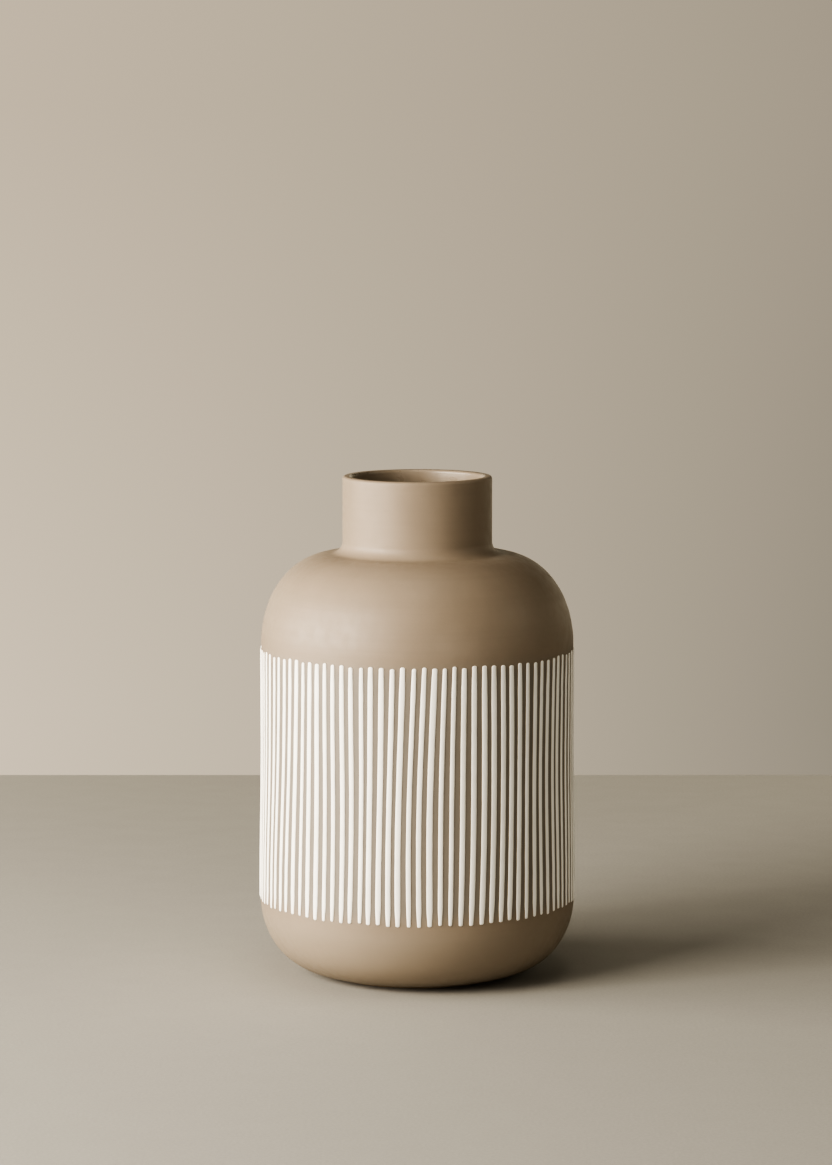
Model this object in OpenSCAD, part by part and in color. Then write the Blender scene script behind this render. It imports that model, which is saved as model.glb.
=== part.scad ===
// Stoneware bottle vase with raised white slip lines.
//
// The clay body is four thrown sections (heel bowl, belly wall, shoulder dome, neck collar) and a
// foot ring. Each section seats on the one below in a stepped joint that a film of slip fills.
// A matte glaze covers the outside, a liner glaze makes the inside watertight, and trailed lines
// of white slip stand proud of the outside glaze.
//
// Millimetres, +Z up, origin at the centre of the foot's resting face.

/* [Overall] */
// Height from the resting face to the lip
height = 252; // [245:1:270]
// Outside radius at the top of the heel, the widest part
heel_r = 79.6; // [79.2:0.1:82]
// Outside radius along the upper belly
shoulder_r = 78.7; // [76:0.1:79]
// Height at which the shoulder starts to turn in
shoulder_z = 166.5; // [160:0.5:175]
// Rise of the shoulder from the belly to the foot of the neck
shoulder_h = 46.5; // [42:0.5:48]

/* [Heel] */
// Rise of the rounded heel above the foot
heel_h = 38.5; // [34:0.5:42]
// Height over which the heel's slight swell fades into the belly
swell_h = 80; // [50:5:100]
// Roundness of heel and shoulder, where 2 is an ellipse and more is squarer
roundness = 2.1; // [2:0.05:2.4]

/* [Neck] */
// Outside radius of the neck
neck_r = 37.6; // [34:0.2:42]
// Radius of the hollow where the neck meets the shoulder
neck_fillet = 6; // [4:0.5:7]
// Radius that rounds each edge of the lip
lip_round = 1.4; // [1:0.1:2.2]

/* [Wall] */
// Thickness of the clay
clay_t = 4; // [3.6:0.1:4.6]
// Thickness of each coat of glaze
glaze_t = 0.4; // [0.3:0.05:0.5]
// Thickness of the clay floor
floor_t = 5.5; // [5:0.5:8]

/* [Foot] */
// Outside radius of the foot ring
foot_r = 46.6; // [44:0.2:50]
// Width of the foot ring
foot_w = 7; // [6:0.5:9]
// Height of the foot ring below the heel
foot_h = 1.5; // [1:0.1:2.5]
// Depth of the groove that the foot ring sits in
foot_groove = 1.2; // [1:0.1:1.5]

/* [Slip joints] */
// Height of the step in each joint between sections
step_h = 3; // [2:0.5:4]
// Thickness of the slip film in a joint
film_t = 0.3; // [0.2:0.05:0.4]

/* [Slip lines] */
// Number of lines round the vase, in four equal groups
line_count = 96; // [80:4:100]
// Mean width of a line
line_w = 2.7; // [2.2:0.05:2.9]
// Height of a line above the glaze
line_h = 0.45; // [0.3:0.05:0.6]
// Height of the lower end of the lines
line_bottom = 38; // [36:0.5:45]
// Height of the upper end of the lines
line_top = 166; // [150:0.5:166]
// How far the top of a line leans past its bottom, to the right as seen from outside
line_lean = 1.7; // [-2:0.1:2]
// How far a line drifts to either side together with its neighbours
line_drift = 1; // [0:0.1:1]
// Span within which a line is set down off its place
line_jitter = 0.6; // [0:0.05:0.9]

/* [Hidden] */
$fn = 144;

stoneware = [0.66, 0.58, 0.48];
joint_slip = [0.56, 0.48, 0.39];
matte_taupe = [0.70, 0.63, 0.54];
satin_taupe = [0.62, 0.54, 0.45];
white_slip = [0.95, 0.94, 0.91];

wall_t = clay_t + 2 * glaze_t;
heel_top = foot_h + heel_h;
neck_base = shoulder_z + shoulder_h;
floor_z = foot_h + floor_t;
floor_cove = 4;       // width of the slope where the inside wall meets the floor
glaze_line = 4;       // heel step at which the outside glaze stops, short of the foot
curve_steps = 36;     // steps along the heel and along the shoulder
belly_steps = 8;
fillet_steps = 8;
shoulder_gap = 4;     // from the neck to the place where the shoulder's curve comes level
lip_steps = 6;
foot_chamfer = 0.5;
beyond = 100;         // larger than any radius of the vase
line_reach = 8;       // how far the cutting shape of a line reaches to each side of the wall
line_bow = 0.15;      // how far a line bows to the side on its own, at most

// Heights of the joints between sections, each with the radius of the middle of the clay there
heel_seam = [heel_top, heel_r - glaze_t - clay_t / 2];
shoulder_seam = [shoulder_z, shoulder_r - glaze_t - clay_t / 2];
neck_seam = [neck_base + neck_fillet + 1, neck_r - glaze_t - clay_t / 2];

// ---- Outline of the finished outside, as [radius, height] points from the foot to the neck ----

function reversed(list) = [for (i = [len(list) - 1 : -1 : 0]) list[i]];
function arc(centre, r, from, to, steps) =
    [for (i = [0 : steps]) let (a = from + (to - from) * i / steps) centre + r * [cos(a), sin(a)]];

function heel() = [
    for (i = [0 : curve_steps]) let (a = 90 * i / curve_steps)
        [foot_r + (heel_r - foot_r) * pow(sin(a), 2 / roundness),
         foot_h + heel_h * (1 - pow(cos(a), 2 / roundness))]
];
function swell(z) = (heel_r - shoulder_r) * (1 + cos(180 * min(1, (z - heel_top) / swell_h))) / 2;
function belly() = [
    for (i = [1 : belly_steps - 1])
        let (z = heel_top + (shoulder_z - heel_top) * i / belly_steps) [shoulder_r + swell(z), z]
];
// The shoulder comes level close to the neck, and the hollow at the neck's foot cuts in before that
shoulder_w = shoulder_r - neck_r - shoulder_gap;
function shoulder() = [
    for (i = [0 : curve_steps])
        let (a = 90 * i / curve_steps,
             r = shoulder_r - shoulder_w + shoulder_w * pow(cos(a), 2 / roundness))
            if (r > neck_r + neck_fillet) [r, shoulder_z + shoulder_h * pow(sin(a), 2 / roundness)]
];
function fillet() =
    arc([neck_r + neck_fillet, neck_base + neck_fillet], neck_fillet, 270 - 90 / fillet_steps, 180,
        fillet_steps - 1);
outside = concat(heel(), belly(), shoulder(), fillet());

// The outline moved inwards by depth, or outwards where depth is negative
function inset(path, depth) = [
    for (i = [0 : len(path) - 1])
        let (ahead = path[min(i + 1, len(path) - 1)],
             behind = path[max(i - 1, 0)],
             along = (ahead - behind) / norm(ahead - behind))
            i == 0 ? path[i] + [0, depth]
            : i == len(path) - 1 ? path[i] - [depth, 0]
            : path[i] + depth * [-along[1], along[0]]
];

// From the foot, up the outside at a depth below the finished surface, to the top of the lip
function up_outside(depth) =
    concat(inset(outside, depth),
           arc([neck_r - lip_round, height - lip_round], lip_round - depth, 0, 90, lip_steps));

// From the top of the lip, down the inside at a depth below the finished outside, to the floor
function down_inside(depth, floor_height) =
    let (mouth = arc([neck_r - wall_t + lip_round, height - lip_round],
                     lip_round - wall_t + depth, 90, 180, lip_steps),
         wall = [for (p = reversed(inset(outside, depth))) if (p[1] > floor_height + 1) p],
         last = wall[len(wall) - 1])
        concat(mouth, wall, [[last[0] - floor_cove, floor_height], [0, floor_height]]);

// ---- Cross-sections, to be turned round the axis ----

module clay_section()
    polygon(concat(up_outside(glaze_t), down_inside(glaze_t + clay_t, floor_z), [[0, foot_h + glaze_t]]));

// Everything under a joint: the step stands up on the inner half of the clay
module under_seam(seam, film = 0) {
    square([beyond, seam[0] + film]);
    square([seam[1] + film, seam[0] + step_h + film]);
}

module foot_groove_section(film = 0)
    translate([foot_r - foot_w - film, 0])
        square([foot_w + 2 * film, foot_h + glaze_t + foot_groove + film]);

module joint_film(seam)
    color(joint_slip)
        rotate_extrude()
            difference() {
                intersection() {
                    clay_section();
                    under_seam(seam, film_t);
                }
                under_seam(seam);
            }

// ---- Foot and clay body ----

module foot_ring() {
    top = foot_h + glaze_t + foot_groove;
    inner = foot_r - foot_w;
    color(stoneware)
        rotate_extrude()
            polygon([
                [inner + foot_chamfer, 0], [foot_r - foot_chamfer, 0], [foot_r, foot_chamfer],
                [foot_r, top], [inner, top], [inner, foot_chamfer]
            ]);
}

module foot_joint_slip()
    color(joint_slip)
        rotate_extrude()
            difference() {
                intersection() {
                    clay_section();
                    foot_groove_section(film_t);
                }
                foot_groove_section();
            }

module heel_bowl()
    color(stoneware)
        rotate_extrude()
            difference() {
                intersection() {
                    clay_section();
                    under_seam(heel_seam);
                }
                foot_groove_section(film_t);
            }

module heel_joint_slip() joint_film(heel_seam);

module clay_between(lower, upper)
    color(stoneware)
        rotate_extrude()
            difference() {
                intersection() {
                    clay_section();
                    under_seam(upper);
                }
                under_seam(lower, film_t);
            }

module belly_wall() clay_between(heel_seam, shoulder_seam);

module shoulder_joint_slip() joint_film(shoulder_seam);

module shoulder_dome() clay_between(shoulder_seam, neck_seam);

module neck_joint_slip() joint_film(neck_seam);

module neck_collar()
    color(stoneware)
        rotate_extrude()
            difference() {
                clay_section();
                under_seam(neck_seam, film_t);
            }

// ---- Glazes ----

// The matte glaze starts on the heel, just clear of the foot, and ends on top of the lip
module outer_glaze() {
    face = up_outside(0);
    back = up_outside(glaze_t);
    lip = [[neck_r - wall_t + lip_round, height], [neck_r - wall_t + lip_round, height - glaze_t]];
    color(matte_taupe)
        rotate_extrude()
            polygon(concat([for (i = [glaze_line : len(face) - 1]) face[i]], lip,
                           [for (i = [len(back) - 1 : -1 : glaze_line]) back[i]]));
}

// The liner takes over from the top of the lip and covers the whole inside
module liner_glaze()
    color(satin_taupe)
        rotate_extrude()
            polygon(concat(down_inside(wall_t, floor_z + glaze_t),
                           reversed(down_inside(glaze_t + clay_t, floor_z))));

// ---- Slip lines ----

// A repeatable number from 0 to 1 for line k; each salt gives another set
function chance(k, salt) =
    let (v = 43758.5 * sin(127.1 * k + 311.7 * salt)) v - floor(v);

// Sideways place of the middle of line k at share u of its height: all lines lean alike, neighbours
// drift together in waves that close round the vase, and each line is set down a little off its
// place and bows on its own
function line_middle(k, u) =
    let (around = 360 * k / line_count,
         waves = 0.7 * sin(3 * around + 100) + 0.55 * sin(5 * around + 170 * u)
                 + 0.4 * sin(7 * around - 250 * u + 60))
        line_lean * (u - 0.5) + line_drift * waves + line_jitter * (chance(k, 1) - 0.5)
        + line_bow * sin(180 * u) * sin(360 * chance(k, 2));

// Height of each end of line k
function line_foot(k) = line_bottom + 1.2 * (chance(k, 3) - 0.5);
function line_tip(k) = line_top - 1.2 * chance(k, 4);

function ease(t) = t * t * (3 - 2 * t);
function grown(start, distance, reach) = start + (1 - start) * ease(min(1, distance / reach));

// Half the width of line k at share u of its height, drawn in a little towards both ends
function line_half(k, u) =
    let (length = line_tip(k) - line_foot(k))
        line_w / 2 * (1 + 0.28 * (chance(k, 5) - 0.5))
        * grown(0.75, u * length, 9) * grown(0.87, (1 - u) * length, 14);

// Shares of the height at which the outline of a line has points, and of its width at each
line_stations = [
    [0, 0.75], [0.006, 1], [0.06, 1], [0.18, 1], [0.34, 1], [0.5, 1], [0.66, 1], [0.82, 1],
    [0.94, 1], [0.994, 1], [1, 0.7]
];

function line_side(k, side) = [
    for (s = line_stations)
        [line_middle(k, s[0]) + side * s[1] * line_half(k, s[0]),
         line_foot(k) + s[0] * (line_tip(k) - line_foot(k))]
];

// The space that the lines fill, a layer on the outside glaze
module line_layer() {
    near = [
        for (i = [0 : len(outside) - 1])
            if (abs(outside[i][1] - (line_bottom + line_top) / 2) < (line_top - line_bottom) / 2 + 8) i
    ];
    raised = inset(outside, -line_h);
    rotate_extrude()
        polygon(concat([for (i = near) raised[i]], reversed([for (i = near) outside[i]])));
}

// One of the four equal groups of lines
module line_group(quarter) {
    per_group = line_count / 4;
    color(white_slip)
        intersection() {
            line_layer();
            for (k = [quarter * per_group : (quarter + 1) * per_group - 1])
                rotate([0, 0, -135 + 360 * (k + 0.5) / line_count])
                    translate([heel_r - line_reach, 0, 0])
                        rotate([90, 0, 90])
                            linear_extrude(height = 2 * line_reach)
                                polygon(concat(line_side(k, -1), reversed(line_side(k, 1))));
        }
}

module slip_lines_front() line_group(0);
module slip_lines_right() line_group(1);
module slip_lines_back() line_group(2);
module slip_lines_left() line_group(3);

foot_ring();
foot_joint_slip();
heel_bowl();
heel_joint_slip();
belly_wall();
shoulder_joint_slip();
shoulder_dome();
neck_joint_slip();
neck_collar();
outer_glaze();
liner_glaze();
slip_lines_front();
slip_lines_right();
slip_lines_back();
slip_lines_left();
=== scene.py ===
"""Looks of the stoneware bottle vase: a matte glazed body with raised white slip lines.

The outline and the lines follow the same rules as the CAD model's. Outlines are worked out in
millimetres, as (radius, height) points, and become metres where a mesh is made.
"""

import bisect
import math

import bmesh
import bpy
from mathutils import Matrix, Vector


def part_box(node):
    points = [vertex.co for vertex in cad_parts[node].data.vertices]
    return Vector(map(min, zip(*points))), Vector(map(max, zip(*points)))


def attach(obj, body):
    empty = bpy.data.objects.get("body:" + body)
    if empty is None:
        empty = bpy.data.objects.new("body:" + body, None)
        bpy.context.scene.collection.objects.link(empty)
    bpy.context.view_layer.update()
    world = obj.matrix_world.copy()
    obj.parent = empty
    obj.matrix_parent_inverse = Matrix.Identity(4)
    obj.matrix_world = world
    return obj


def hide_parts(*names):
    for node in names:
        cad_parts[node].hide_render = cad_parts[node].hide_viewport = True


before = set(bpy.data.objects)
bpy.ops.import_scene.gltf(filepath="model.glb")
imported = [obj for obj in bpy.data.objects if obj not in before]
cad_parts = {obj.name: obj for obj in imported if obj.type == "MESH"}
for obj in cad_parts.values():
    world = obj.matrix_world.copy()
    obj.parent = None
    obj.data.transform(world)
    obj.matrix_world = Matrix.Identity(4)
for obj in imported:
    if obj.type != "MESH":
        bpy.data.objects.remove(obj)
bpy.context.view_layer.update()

MM = 0.001
UP = 2
SIDE = 0


def low(node, axis=UP):
    """Lowest coordinate of a CAD node, in millimetres."""
    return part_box(node)[0][axis] / MM


def high(node, axis=UP):
    """Highest coordinate of a CAD node, in millimetres."""
    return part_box(node)[1][axis] / MM


def inner_radius(node):
    """Smallest radius of a CAD node, in millimetres."""
    return min(math.hypot(v.co.x, v.co.y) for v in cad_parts[node].data.vertices) / MM


# ---- Sizes, in millimetres ----

CLAY_T = 4.0
GLAZE_T = 0.4
WALL_T = CLAY_T + 2 * GLAZE_T
LIP_ROUND = 1.4
NECK_FILLET = 6.0
ROUNDNESS = 2.1  # of heel and shoulder: 2 is an ellipse, more is squarer
SHOULDER_GAP = 4.0  # from the neck to the place where the shoulder's curve comes level
SWELL_H = 80.0  # height over which the heel's swell fades into the belly
FLOOR_COVE = 4.0  # width of the curve where the inside wall meets the floor
FOOT_EDGE = 0.5  # radius of the foot ring's lower edges
GLAZE_START = 5  # step of the heel at which the outside glaze stops, short of the foot
LIP_STEPS = 10

HEIGHT = high("outer_glaze")
HEEL_R = high("outer_glaze", SIDE)
SHOULDER_R = high("shoulder_joint_slip", SIDE) + GLAZE_T
NECK_R = high("neck_collar", SIDE) + GLAZE_T
FOOT_R = high("foot_ring", SIDE)
FOOT_INNER_R = inner_radius("foot_ring")
FOOT_TOP = high("foot_ring")
FOOT_H = low("heel_bowl") - GLAZE_T
HEEL_TOP = low("heel_joint_slip")
SHOULDER_Z = low("shoulder_joint_slip")
NECK_BASE = low("neck_joint_slip") - NECK_FILLET - 1
FLOOR_Z = low("liner_glaze")

SEGMENTS = 240  # faces round the vase
RIPPLE = 0.03  # height of the faint throwing rings


# ---- Outline of the finished outside ----


def arc(centre, radius, start, end, steps):
    """Points on a circle, from one angle in degrees to another."""
    turns = [math.radians(start + (end - start) * i / steps) for i in range(steps + 1)]
    return [(centre[0] + radius * math.cos(t), centre[1] + radius * math.sin(t)) for t in turns]


def squared(turn):
    """Sine and cosine of an angle, swollen towards the corner of the quarter by ROUNDNESS."""
    return math.sin(turn) ** (2 / ROUNDNESS), max(0.0, math.cos(turn)) ** (2 / ROUNDNESS)


def heel(steps=44):
    """From the foot up to the widest part."""
    points = []
    for i in range(steps + 1):
        across, up = squared(math.pi / 2 * i / steps)
        points.append((FOOT_R + (HEEL_R - FOOT_R) * across, FOOT_H + (HEEL_TOP - FOOT_H) * (1 - up)))
    return points


def belly(steps=56):
    """The wall between heel and shoulder, with the heel's swell fading out."""
    points = []
    for i in range(1, steps):
        z = HEEL_TOP + (SHOULDER_Z - HEEL_TOP) * i / steps
        faded = min(1, (z - HEEL_TOP) / SWELL_H)
        points.append((SHOULDER_R + (HEEL_R - SHOULDER_R) * (1 + math.cos(math.pi * faded)) / 2, z))
    return points


def shoulder(steps=64):
    """From the belly in to the hollow at the foot of the neck."""
    width = SHOULDER_R - NECK_R - SHOULDER_GAP
    points = []
    for i in range(steps + 1):
        up, across = squared(math.pi / 2 * i / steps)
        points.append((SHOULDER_R - width + width * across, SHOULDER_Z + (NECK_BASE - SHOULDER_Z) * up))
    return [p for p in points if p[0] > NECK_R + NECK_FILLET]


def neck(fillet_steps=12, wall_steps=14):
    """The hollow at the foot of the neck, and the neck up to its lip."""
    hollow = arc((NECK_R + NECK_FILLET, NECK_BASE + NECK_FILLET), NECK_FILLET, 270, 180, fillet_steps)
    start = NECK_BASE + NECK_FILLET
    rise = HEIGHT - LIP_ROUND - start
    return hollow[1:] + [(NECK_R, start + rise * i / wall_steps) for i in range(1, wall_steps)]


OUTSIDE = heel() + belly() + shoulder() + neck()


def inset(path, depth):
    """The path moved inwards by depth, square to itself."""
    moved = []
    last = len(path) - 1
    for i, (r, z) in enumerate(path):
        behind, ahead = path[max(i - 1, 0)], path[min(i + 1, last)]
        dr, dz = ahead[0] - behind[0], ahead[1] - behind[1]
        length = math.hypot(dr, dz)
        moved.append((r - depth * dz / length, z + depth * dr / length))
    return moved


def rippled(path):
    """The path with the faint rings that a thrower's fingers leave."""
    rings = []
    for r, z in path:
        wave = math.sin(z / 1.9 + 1.3 * math.sin(z / 7.3)) * (0.6 + 0.4 * math.sin(z / 23.0))
        rings.append((r + RIPPLE * wave, z))
    return rings


def outer_lip(depth):
    """The outer half of the lip, from the neck wall to the top, at a depth in the wall."""
    return arc((NECK_R - LIP_ROUND, HEIGHT - LIP_ROUND), LIP_ROUND - depth, 0, 90, LIP_STEPS)


def inner_lip(depth):
    """The inner half of the lip, from the top to the inside wall, at a depth in the wall."""
    centre = (NECK_R - WALL_T + LIP_ROUND, HEIGHT - LIP_ROUND)
    return arc(centre, LIP_ROUND - WALL_T + depth, 90, 180, LIP_STEPS)


def inside(depth, floor_z, floor_steps=12):
    """From the top of the lip down the inside wall and across the floor to the axis."""
    wall = [p for p in reversed(inset(OUTSIDE, depth)) if p[1] > floor_z + 1]
    edge, foot = wall[-1]
    cove = [
        (edge - FLOOR_COVE * t, floor_z + (foot - floor_z) * (1 - t) ** 2)
        for t in (0.25, 0.5, 0.75, 1.0)
    ]
    floor_r = edge - FLOOR_COVE
    floor = [(floor_r * (1 - i / floor_steps), floor_z) for i in range(1, floor_steps + 1)]
    return inner_lip(depth) + wall + cove + floor


# ---- Meshes ----


def finish_mesh(mesh, name, sharp_angle=40):
    """A bmesh made into an object with smooth faces and creases where the surface turns sharply."""
    bmesh.ops.recalc_face_normals(mesh, faces=mesh.faces)
    for face in mesh.faces:
        face.smooth = True
    for edge in mesh.edges:
        edge.smooth = edge.calc_face_angle(0) < math.radians(sharp_angle)
    data = bpy.data.meshes.new(name)
    mesh.to_mesh(data)
    mesh.free()
    piece = bpy.data.objects.new(name, data)
    bpy.context.scene.collection.objects.link(piece)
    return piece


def skin(mesh, rings):
    """Faces between neighbouring rings of points. A ring of one point is a pole."""
    for a, b in zip(rings, rings[1:]):
        count = max(len(a), len(b))
        for i in range(count):
            j = (i + 1) % count
            corners = [a[i % len(a)], a[j % len(a)], b[j % len(b)], b[i % len(b)]]
            unique = list(dict.fromkeys(corners))
            if len(unique) > 2:
                mesh.faces.new(unique)


def lathe(name, loop):
    """A solid of revolution. The loop ends on the axis at both ends, or else closes on itself."""
    mesh = bmesh.new()
    rings = []
    for r, z in loop:
        turns = [math.tau * i / SEGMENTS for i in range(SEGMENTS)] if r > 1e-6 else [0.0]
        rings.append([
            mesh.verts.new((r * math.cos(t) * MM, r * math.sin(t) * MM, z * MM)) for t in turns
        ])
    if len(rings[0]) > 1:
        rings.append(rings[0])
    skin(mesh, rings)
    return finish_mesh(mesh, name)


# ---- Slip lines ----

# From here to LINE_BOW the values are the CAD model's
LINE_COUNT = 96
LINE_W = 2.7
LINE_H = 0.45
LINE_BOTTOM = 38.0
LINE_TOP = 166.0
LINE_LEAN = 1.7
LINE_DRIFT = 1.0
LINE_JITTER = 0.6
LINE_BOW = 0.15
LINE_BED = 0.15  # how deep a line is bedded in the glaze
BED_SHARE = 0.8  # of a line's width that is bedded
BEAD_SQUARENESS = 2.6  # of a line's cross-section: 2 is an ellipse, more is squarer
END_HALF = 0.02  # keeps the very end of a line from closing to a point
FOOT_ROUND = 0.7  # length over which the lower end of a line rounds off
TIP_ROUND = 0.8
LINE_STEPS = 64
CROSS_STEPS = 10
DEPTH_NAME = "slip_depth"


def sin_deg(angle):
    """Sine of an angle in degrees."""
    return math.sin(math.radians(angle))


def chance(k, salt):
    """A repeatable number from 0 to 1 for line k; each salt gives another set."""
    value = 43758.5 * sin_deg(127.1 * k + 311.7 * salt)
    return value - math.floor(value)


def line_middle(k, u):
    """Sideways place of the middle of line k at share u of its height.

    All lines lean alike, neighbours drift together in waves that close round the vase, and each
    line is set down a little off its place and bows on its own.
    """
    around = 360 * k / LINE_COUNT
    waves = (
        0.7 * sin_deg(3 * around + 100)
        + 0.55 * sin_deg(5 * around + 170 * u)
        + 0.4 * sin_deg(7 * around - 250 * u + 60)
    )
    return (
        LINE_LEAN * (u - 0.5) + LINE_DRIFT * waves + LINE_JITTER * (chance(k, 1) - 0.5)
        + LINE_BOW * sin_deg(180 * u) * sin_deg(360 * chance(k, 2))
    )


def line_foot(k):
    """Height of the lower end of line k."""
    return LINE_BOTTOM + 1.2 * (chance(k, 3) - 0.5)


def line_tip(k):
    """Height of the upper end of line k."""
    return LINE_TOP - 1.2 * chance(k, 4)


def grown(start, distance, reach):
    """A share that eases from start to 1 over the reach."""
    t = min(1, distance / reach)
    return start + (1 - start) * t * t * (3 - 2 * t)


def rounded(distance, reach):
    """A quarter circle from 0 to 1 over the reach."""
    t = min(1, distance / reach)
    return math.sqrt(t * (2 - t))


def line_half(k, u):
    """Half the width of line k at share u of its height, with its small unevenness."""
    length = line_tip(k) - line_foot(k)
    uneven = 1 + 0.015 * sin_deg(1500 * u + 360 * chance(k, 6)) + 0.008 * sin_deg(4100 * u + 70 * k)
    return (
        LINE_W / 2 * (1 + 0.28 * (chance(k, 5) - 0.5)) * uneven
        * grown(0.75, u * length, 9) * grown(0.87, (1 - u) * length, 14)
    )


GLAZE_FACE = rippled(OUTSIDE)
FACE_HEIGHTS = [z for r, z in GLAZE_FACE]


def surface_radius(z):
    """Radius of the finished glaze at a height, between the outline's points."""
    i = bisect.bisect_right(FACE_HEIGHTS, z)
    (r0, z0), (r1, z1) = GLAZE_FACE[i - 1], GLAZE_FACE[i]
    return r0 + (r1 - r0) * (z - z0) / (z1 - z0)


def line_stations(length):
    """Shares of a line's height, closer together towards its ends."""
    ends = [0.0, 0.1, 0.25, 0.5, 0.8, 1.2, 1.7, 2.4, 3.5]
    middle = [ends[-1] + (length - 2 * ends[-1]) * i / LINE_STEPS for i in range(1, LINE_STEPS)]
    return [d / length for d in ends + middle + [length - d for d in reversed(ends)]]


def trail(mesh, depth_layer, k):
    """One slip line: a low, round-shouldered bead bedded in the glaze."""
    foot, tip = line_foot(k), line_tip(k)
    length = tip - foot
    bearing = math.radians(-135 + 360 * (k + 0.5) / LINE_COUNT)
    height = LINE_H * (0.9 + 0.2 * chance(k, 7))
    rings = []
    for u in line_stations(length):
        z = foot + length * u
        glaze_r = surface_radius(z)
        end = (
            rounded(u * length + END_HALF, FOOT_ROUND) * rounded((1 - u) * length + END_HALF, TIP_ROUND)
        )
        half = line_half(k, u) * end
        middle = line_middle(k, u)
        ring = []
        for i in range(CROSS_STEPS + 1):
            side = -math.cos(math.pi * i / CROSS_STEPS)
            dome = max(0.0, 1 - abs(side) ** BEAD_SQUARENESS) ** 0.5
            lift = height * dome * end
            ring.append((middle + half * side, glaze_r + lift, dome * end))
        ring.append((middle + half * BED_SHARE, glaze_r - LINE_BED, 0.0))
        ring.append((middle - half * BED_SHARE, glaze_r - LINE_BED, 0.0))
        points = []
        for sideways, r, depth in ring:
            turn = bearing + sideways / glaze_r
            point = mesh.verts.new((r * math.cos(turn) * MM, r * math.sin(turn) * MM, z * MM))
            point[depth_layer] = depth
            points.append(point)
        rings.append(points)
    skin(mesh, rings)
    mesh.faces.new(rings[0])
    mesh.faces.new(rings[-1])


def line_group(name, quarter):
    """A quarter of the lines as one piece."""
    mesh = bmesh.new()
    depth_layer = mesh.verts.layers.float.new(DEPTH_NAME)
    per_group = LINE_COUNT // 4
    for k in range(quarter * per_group, (quarter + 1) * per_group):
        trail(mesh, depth_layer, k)
    return finish_mesh(mesh, name, sharp_angle=75)


# ---- Materials ----


class Nodes:
    """A node tree, with short ways to add the nodes that this script uses."""

    def __init__(self, tree):
        self.tree = tree

    def add(self, kind, **settings):
        """A new node of that kind, with its settings."""
        node = self.tree.nodes.new(kind)
        for key, value in settings.items():
            setattr(node, key, value)
        return node

    def link(self, source, target):
        """A link from an output to an input."""
        self.tree.links.new(source, target)

    def ramp(self, value, start, end, low_out=0.0, high_out=1.0, curve="SMOOTHSTEP"):
        """The value mapped from the span start..end to low_out..high_out."""
        node = self.add("ShaderNodeMapRange", interpolation_type=curve)
        for name, number in (
            ("From Min", start), ("From Max", end), ("To Min", low_out), ("To Max", high_out)
        ):
            node.inputs[name].default_value = number
        self.link(value, node.inputs["Value"])
        return node.outputs["Result"]

    def mix(self, share, first, second):
        """A colour between two; each may be a colour or another node's output."""
        node = self.add("ShaderNodeMix", data_type="RGBA")
        self.link(share, node.inputs["Factor"])
        for socket, color in ((node.inputs[6], first), (node.inputs[7], second)):
            if isinstance(color, tuple):
                socket.default_value = (*color, 1)
            else:
                self.link(color, socket)
        return node.outputs[2]


class Shader(Nodes):
    """A material's nodes around its one Principled shader."""

    def __init__(self, name, color, roughness, specular=0.5):
        self.material = bpy.data.materials.new(name)
        self.material.use_nodes = True
        super().__init__(self.material.node_tree)
        self.surface = self.tree.nodes["Principled BSDF"]
        self.surface.inputs["Base Color"].default_value = (*color, 1)
        self.surface.inputs["Roughness"].default_value = roughness
        self.surface.inputs["Specular IOR Level"].default_value = specular
        self.place = self.add("ShaderNodeTexCoord").outputs["Object"]

    def noise(self, scale, detail=3.0, stretch=(1, 1, 1), rough=0.5):
        """Noise from 0 to 1; scale is in cells per metre, and stretch squeezes it along each axis."""
        mapping = self.add("ShaderNodeMapping")
        mapping.inputs["Scale"].default_value = stretch
        self.link(self.place, mapping.inputs["Vector"])
        noise = self.add("ShaderNodeTexNoise")
        noise.inputs["Scale"].default_value = scale
        noise.inputs["Detail"].default_value = detail
        noise.inputs["Roughness"].default_value = rough
        self.link(mapping.outputs["Vector"], noise.inputs["Vector"])
        return noise.outputs["Fac"]

    def both(self, first, second):
        """The product of two values."""
        node = self.add("ShaderNodeMath", operation="MULTIPLY")
        self.link(first, node.inputs[0])
        self.link(second, node.inputs[1])
        return node.outputs[0]

    def height_of(self):
        """Height above the floor, in metres."""
        split = self.add("ShaderNodeSeparateXYZ")
        self.link(self.place, split.inputs["Vector"])
        return split.outputs["Z"]

    def bump(self, value, distance, strength=1.0, under=None):
        """Relief of that depth in metres, on top of the relief under it."""
        node = self.add("ShaderNodeBump")
        node.inputs["Distance"].default_value = distance
        node.inputs["Strength"].default_value = strength
        self.link(value, node.inputs["Height"])
        if under is not None:
            self.link(under, node.inputs["Normal"])
        return node.outputs["Normal"]

    def finish(self, color, roughness, normal):
        """Ties colour, roughness and relief to the shader, and gives the material."""
        self.link(color, self.surface.inputs["Base Color"])
        self.link(roughness, self.surface.inputs["Roughness"])
        self.link(normal, self.surface.inputs["Normal"])
        return self.material


def shade(color, factor):
    """The colour made darker or lighter by a factor."""
    return tuple(min(1.0, c * factor) for c in color)


TAUPE = (0.281, 0.222, 0.161)
# painted shade: the glaze between the raised lines, darker and greyer
PAINTED_SHADE_BETWEEN_LINES = (0.207, 0.186, 0.155)
# painted light: the heel below the lines, paler and greyer than the rest of the glaze
PAINTED_LIGHT_HEEL_TAUPE = (0.297, 0.243, 0.181)
LINER = (0.290, 0.232, 0.170)
CLAY = (0.400, 0.290, 0.190)
SLIP = (0.300, 0.215, 0.140)
WHITE = (0.900, 0.864, 0.785)


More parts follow.
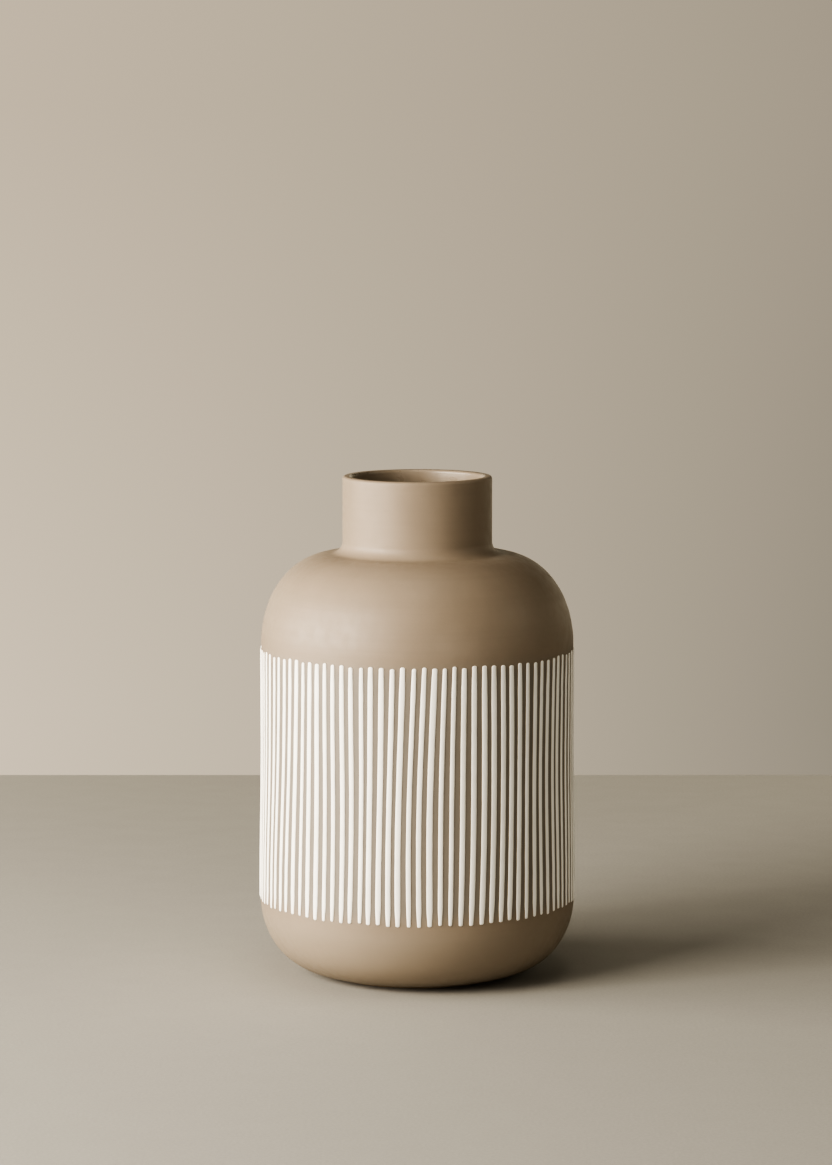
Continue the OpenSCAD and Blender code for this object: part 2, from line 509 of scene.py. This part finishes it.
def matte_glaze():
    """Smooth matte taupe: faint clouds, throwing rings and grain, with painted shade that makes it
    darker and greyer between the slip lines, and painted light that makes the heel below them paler.
    """
    s = Shader("matte_taupe_glaze", TAUPE, 0.6, specular=0.33)
    clouds = s.ramp(s.noise(11, 4), 0.35, 0.65)
    patches = s.ramp(s.noise(70, 5), 0.35, 0.7)
    rings = s.noise(1, 4, stretch=(6, 6, 420))
    grain = s.noise(1600, 3, rough=0.7)
    color = s.mix(clouds, shade(TAUPE, 0.95), shade(TAUPE, 1.04))
    color = s.mix(s.ramp(patches, 0, 1, 0, 0.35), color, shade(TAUPE, 1.07))
    color = s.mix(s.ramp(rings, 0.4, 0.7, 0, 0.25), color, shade(TAUPE, 0.92))
    color = s.mix(s.ramp(grain, 0.45, 0.8, 0, 0.3), color, shade(TAUPE, 0.86))
    height = s.height_of()
    bottom, top = LINE_BOTTOM * MM, LINE_TOP * MM
    # painted shade between the slip lines, fading out at their ends
    painted_shade_band = s.both(
        s.ramp(height, bottom - 0.002, bottom + 0.008), s.ramp(height, top - 0.008, top + 0.004, 0.7, 0)
    )
    color = s.mix(painted_shade_band, color, PAINTED_SHADE_BETWEEN_LINES)
    # painted light on the heel below the lines
    color = s.mix(s.ramp(height, bottom - 0.010, bottom + 0.002, 0.7, 0), color, PAINTED_LIGHT_HEEL_TAUPE)
    rough = s.ramp(s.noise(240, 4), 0.3, 0.7, 0.44, 0.55)
    normal = s.bump(rings, 0.00010, 0.5)
    normal = s.bump(grain, 0.00002, 0.6, under=normal)
    return s.finish(color, rough, normal)


def satin_glaze():
    """Satin liner: smoother than the outside, with faint vertical runs."""
    s = Shader("satin_liner_glaze", LINER, 0.3)
    clouds = s.ramp(s.noise(24, 4), 0.35, 0.65)
    runs = s.noise(1, 3, stretch=(160, 160, 9))
    color = s.mix(clouds, shade(LINER, 0.93), shade(LINER, 1.06))
    color = s.mix(s.ramp(runs, 0.45, 0.75, 0, 0.3), color, shade(LINER, 0.85))
    rough = s.ramp(s.noise(180, 3), 0.3, 0.7, 0.26, 0.38)
    normal = s.bump(s.noise(1, 4, stretch=(6, 6, 420)), 0.00012, 0.6)
    normal = s.bump(runs, 0.00003, 0.5, under=normal)
    return s.finish(color, rough, normal)


def white_slip():
    """Warm white slip: streaked along the line, and thin enough at the edges to show the taupe."""
    s = Shader("white_slip_trail", WHITE, 0.6, specular=0.33)
    depth = s.add("ShaderNodeAttribute", attribute_name=DEPTH_NAME).outputs["Fac"]
    clouds = s.ramp(s.noise(45, 4), 0.35, 0.65)
    streaks = s.noise(1, 3, stretch=(1300, 1300, 70))
    color = s.mix(clouds, shade(WHITE, 0.96), shade(WHITE, 1.0))
    color = s.mix(s.ramp(streaks, 0.5, 0.8, 0, 0.25), color, shade(WHITE, 0.9))
    color = s.mix(s.ramp(depth, 0.05, 0.5), shade(TAUPE, 1.7), color)
    rough = s.ramp(s.noise(300, 3), 0.3, 0.7, 0.5, 0.66)
    normal = s.bump(streaks, 0.00004, 0.5)
    normal = s.bump(s.noise(900, 3), 0.00003, 0.5, under=normal)
    return s.finish(color, rough, normal)


def bare_clay(name, base, speck=0.45):
    """Unglazed fired clay: sandy grain and iron specks."""
    s = Shader(name, base, 0.85)
    clouds = s.ramp(s.noise(40, 5), 0.3, 0.7)
    grain = s.noise(1900, 4, rough=0.7)
    specks = s.add("ShaderNodeTexVoronoi")
    specks.inputs["Scale"].default_value = 520
    s.link(s.place, specks.inputs["Vector"])
    iron = s.ramp(specks.outputs["Distance"], 0.10, 0.22, speck, 0.0)
    color = s.mix(clouds, shade(base, 0.9), shade(base, 1.1))
    color = s.mix(s.ramp(grain, 0.4, 0.75, 0, 0.5), color, shade(base, 0.75))
    color = s.mix(iron, color, shade(base, 0.4))
    rough = s.ramp(grain, 0.3, 0.7, 0.8, 0.95)
    normal = s.bump(grain, 0.00008, 0.8)
    return s.finish(color, rough, normal)


# ---- Pieces ----


def dress(piece, material, slot, *nodes):
    """Gives a piece its material, hangs it under the root body and hides the CAD nodes that it stands
    for.
    """
    piece.data.materials.append(material)
    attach(piece, "root")
    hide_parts(*nodes)


def make_outer_glaze(material):
    """From a rounded edge on the heel, just clear of the foot, up to the top of the lip."""
    face = GLAZE_FACE[GLAZE_START:] + outer_lip(0)
    back = inset(OUTSIDE, GLAZE_T)[GLAZE_START:] + outer_lip(GLAZE_T)
    lip = [(NECK_R - WALL_T + LIP_ROUND, HEIGHT), (NECK_R - WALL_T + LIP_ROUND, HEIGHT - GLAZE_T)]
    (face_r, face_z), (back_r, back_z) = face[0], back[0]
    bead = ((face_r + back_r) / 2 - GLAZE_T * 0.4, (face_z + back_z) / 2 - GLAZE_T * 0.05)
    piece = lathe("outer_glaze_coat", face + lip + list(reversed(back)) + [bead])
    dress(piece, material, "outer_glaze", "outer_glaze")


def make_liner(material):
    """The glaze over the whole inside, as one sheet with two faces."""
    shown = inside(WALL_T, FLOOR_Z)
    bedded = inside(WALL_T - GLAZE_T, FLOOR_Z - GLAZE_T)
    piece = lathe("liner_glaze_coat", list(reversed(shown)) + bedded)
    dress(piece, material, "liner_glaze", "liner_glaze")


def make_foot(material):
    """The turned foot ring, with softened edges."""
    loop = (
        [(FOOT_INNER_R, FOOT_TOP), (FOOT_INNER_R, FOOT_EDGE)]
        + arc((FOOT_INNER_R + FOOT_EDGE, FOOT_EDGE), FOOT_EDGE, 180, 270, 5)[1:]
        + arc((FOOT_R - FOOT_EDGE, FOOT_EDGE), FOOT_EDGE, 270, 360, 5)
        + [(FOOT_R, FOOT_TOP)]
    )
    piece = lathe("foot_ring_turned", loop)
    dress(piece, material, "bare_stoneware", "foot_ring")


def make_lines(material):
    """The four groups of white lines."""
    for quarter, side in enumerate(("front", "right", "back", "left")):
        piece = line_group(f"white_lines_{side}", quarter)
        dress(piece, material, "white_slip", f"slip_lines_{side}")


def paint_cad_nodes(clay, slip):
    """The clay sections and joints keep their CAD meshes and get fired-clay materials."""
    for node in ("heel_bowl", "belly_wall", "shoulder_dome", "neck_collar"):
        paint(node, clay)
    for node in ("foot_joint_slip", "heel_joint_slip", "shoulder_joint_slip", "neck_joint_slip"):
        paint(node, slip)


def paint(node, material):
    """A CAD node's own mesh in a material."""
    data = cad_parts[node].data
    data.materials.clear()
    data.materials.append(material)


# ---- Stage, lights and camera ----

FLOOR_BACK = 0.592  # where the floor ends behind the vase, in metres
FLOOR_R = 1.3  # radius of the rest of the floor, in metres
FLOOR_STEPS = 96


def make_floor():
    """A plain pale round floor, cut off straight behind the vase, where the backdrop begins."""
    mesh = bmesh.new()
    cut = math.asin(FLOOR_BACK / FLOOR_R)
    turns = [math.pi - cut + (math.pi + 2 * cut) * i / FLOOR_STEPS for i in range(FLOOR_STEPS + 1)]
    mesh.faces.new([
        mesh.verts.new((FLOOR_R * math.cos(t), FLOOR_R * math.sin(t), 0)) for t in turns
    ])
    floor = finish_mesh(mesh, "floor")
    base = (0.380, 0.356, 0.312)
    s = Shader("pale_floor", base, 0.8)
    grain = s.noise(650, 4, rough=0.7)
    color = s.mix(s.ramp(s.noise(2, 2), 0.35, 0.65), shade(base, 0.985), shade(base, 1.015))
    color = s.mix(s.ramp(grain, 0.35, 0.65, 0, 0.5), color, shade(base, 0.86))
    rough = s.ramp(s.noise(40, 3), 0.3, 0.7, 0.75, 0.85)
    normal = s.bump(grain, 0.0001, 0.4)
    floor.data.materials.append(s.finish(color, rough, normal))


AIM = (0, 0, 0.13)  # about the middle of the vase

# Name, bearing leftwards from the camera's side and elevation in degrees, distance and size in
# metres, power in watts and colour
LIGHTS = (
    ("key_front", 50, 20, 1.6, (0.8, 0.9), 31, (1.0, 0.953, 0.88)),
    ("key_side", 82, 12, 1.6, (1.2, 0.6), 30, (1.0, 0.953, 0.88)),
    ("front_fill", -22, 4, 1.6, (1.0, 0.6), 3.7, (1.0, 0.98, 0.93)),
    ("side_fill", -84, 23, 1.6, (0.8, 0.8), 2.4, (1.0, 0.95, 0.78)),
    ("top_fill", 0, 80, 1.6, (0.8, 0.8), 3.6, (1.0, 0.94, 0.84)),
    ("wall_bounce", 180, 10, 0.75, (2.4, 0.35), 1.8, (1.0, 0.91, 0.70)),
)


def area_light(name, bearing, elevation, distance, size, power, color):
    """A soft rectangle aimed at the vase."""
    light = bpy.data.lights.new(name, "AREA")
    light.shape = "RECTANGLE"
    light.size, light.size_y = size
    light.energy = power
    light.color = color
    lamp = bpy.data.objects.new(name, light)
    b, e = math.radians(bearing), math.radians(elevation)
    away = Vector((-math.sin(b) * math.cos(e), -math.cos(b) * math.cos(e), math.sin(e)))
    lamp.location = Vector(AIM) + away * distance
    lamp.rotation_mode = "QUATERNION"
    lamp.rotation_quaternion = away.to_track_quat("Z", "Y")
    lamp.visible_camera = False
    bpy.context.scene.collection.objects.link(lamp)


def make_backdrop():
    """A plain wall tone behind everything, with painted light that makes it paler low on the left, and
    a dim light from all round.
    """
    world = bpy.data.worlds.new("studio")
    world.use_nodes = True
    n = Nodes(world.node_tree)
    n.tree.nodes.clear()
    way = n.add("ShaderNodeSeparateXYZ")
    n.link(n.add("ShaderNodeTexCoord").outputs["Generated"], way.inputs["Vector"])
    # painted light: the wall tone falls off from the left to the right, and from low to high on the
    # left
    across = n.ramp(way.outputs["X"], -0.105, 0.105, curve="LINEAR")
    upwards = n.ramp(way.outputs["Z"], -0.15, 0.0, curve="LINEAR")
    low_wall = n.mix(across, (0.60, 0.515, 0.40), (0.285, 0.255, 0.205))
    high_wall = n.mix(across, (0.50, 0.425, 0.325), (0.325, 0.285, 0.225))
    seen = n.add("ShaderNodeBackground")
    n.link(n.mix(upwards, low_wall, high_wall), seen.inputs["Color"])
    dim = n.add("ShaderNodeBackground")
    dim.inputs["Color"].default_value = (1.0, 0.9, 0.8, 1)
    dim.inputs["Strength"].default_value = 0.03
    either = n.add("ShaderNodeMixShader")
    n.link(n.add("ShaderNodeLightPath").outputs["Is Camera Ray"], either.inputs["Fac"])
    n.link(dim.outputs["Background"], either.inputs[1])
    n.link(seen.outputs["Background"], either.inputs[2])
    n.link(either.outputs["Shader"], n.add("ShaderNodeOutputWorld").inputs["Surface"])
    bpy.context.scene.world = world


def make_camera():
    """A long lens two metres in front, looking slightly down."""
    data = bpy.data.cameras.new("camera")
    data.lens = 123.6
    data.sensor_width = 36
    data.clip_start, data.clip_end = 0.05, 50
    camera = bpy.data.objects.new("camera", data)
    camera.location = (-0.00065, -2.0, 0.4368)
    camera.rotation_euler = (math.radians(90 - 6.81), 0, 0)
    bpy.context.scene.collection.objects.link(camera)
    bpy.context.scene.camera = camera


def set_tones():
    """The film-like tone curve, at the contrast of a studio picture."""
    view = bpy.context.scene.view_settings
    view.view_transform = "AgX"
    view.look = "AgX - Very High Contrast"


make_outer_glaze(matte_glaze())
make_liner(satin_glaze())
fired_clay = bare_clay("bare_stoneware", CLAY)
make_foot(fired_clay)
make_lines(white_slip())
paint_cad_nodes(fired_clay, bare_clay("fired_slip", SLIP, speck=0.2))

make_floor()
make_backdrop()
for row in LIGHTS:
    area_light(*row)
make_camera()
set_tones()
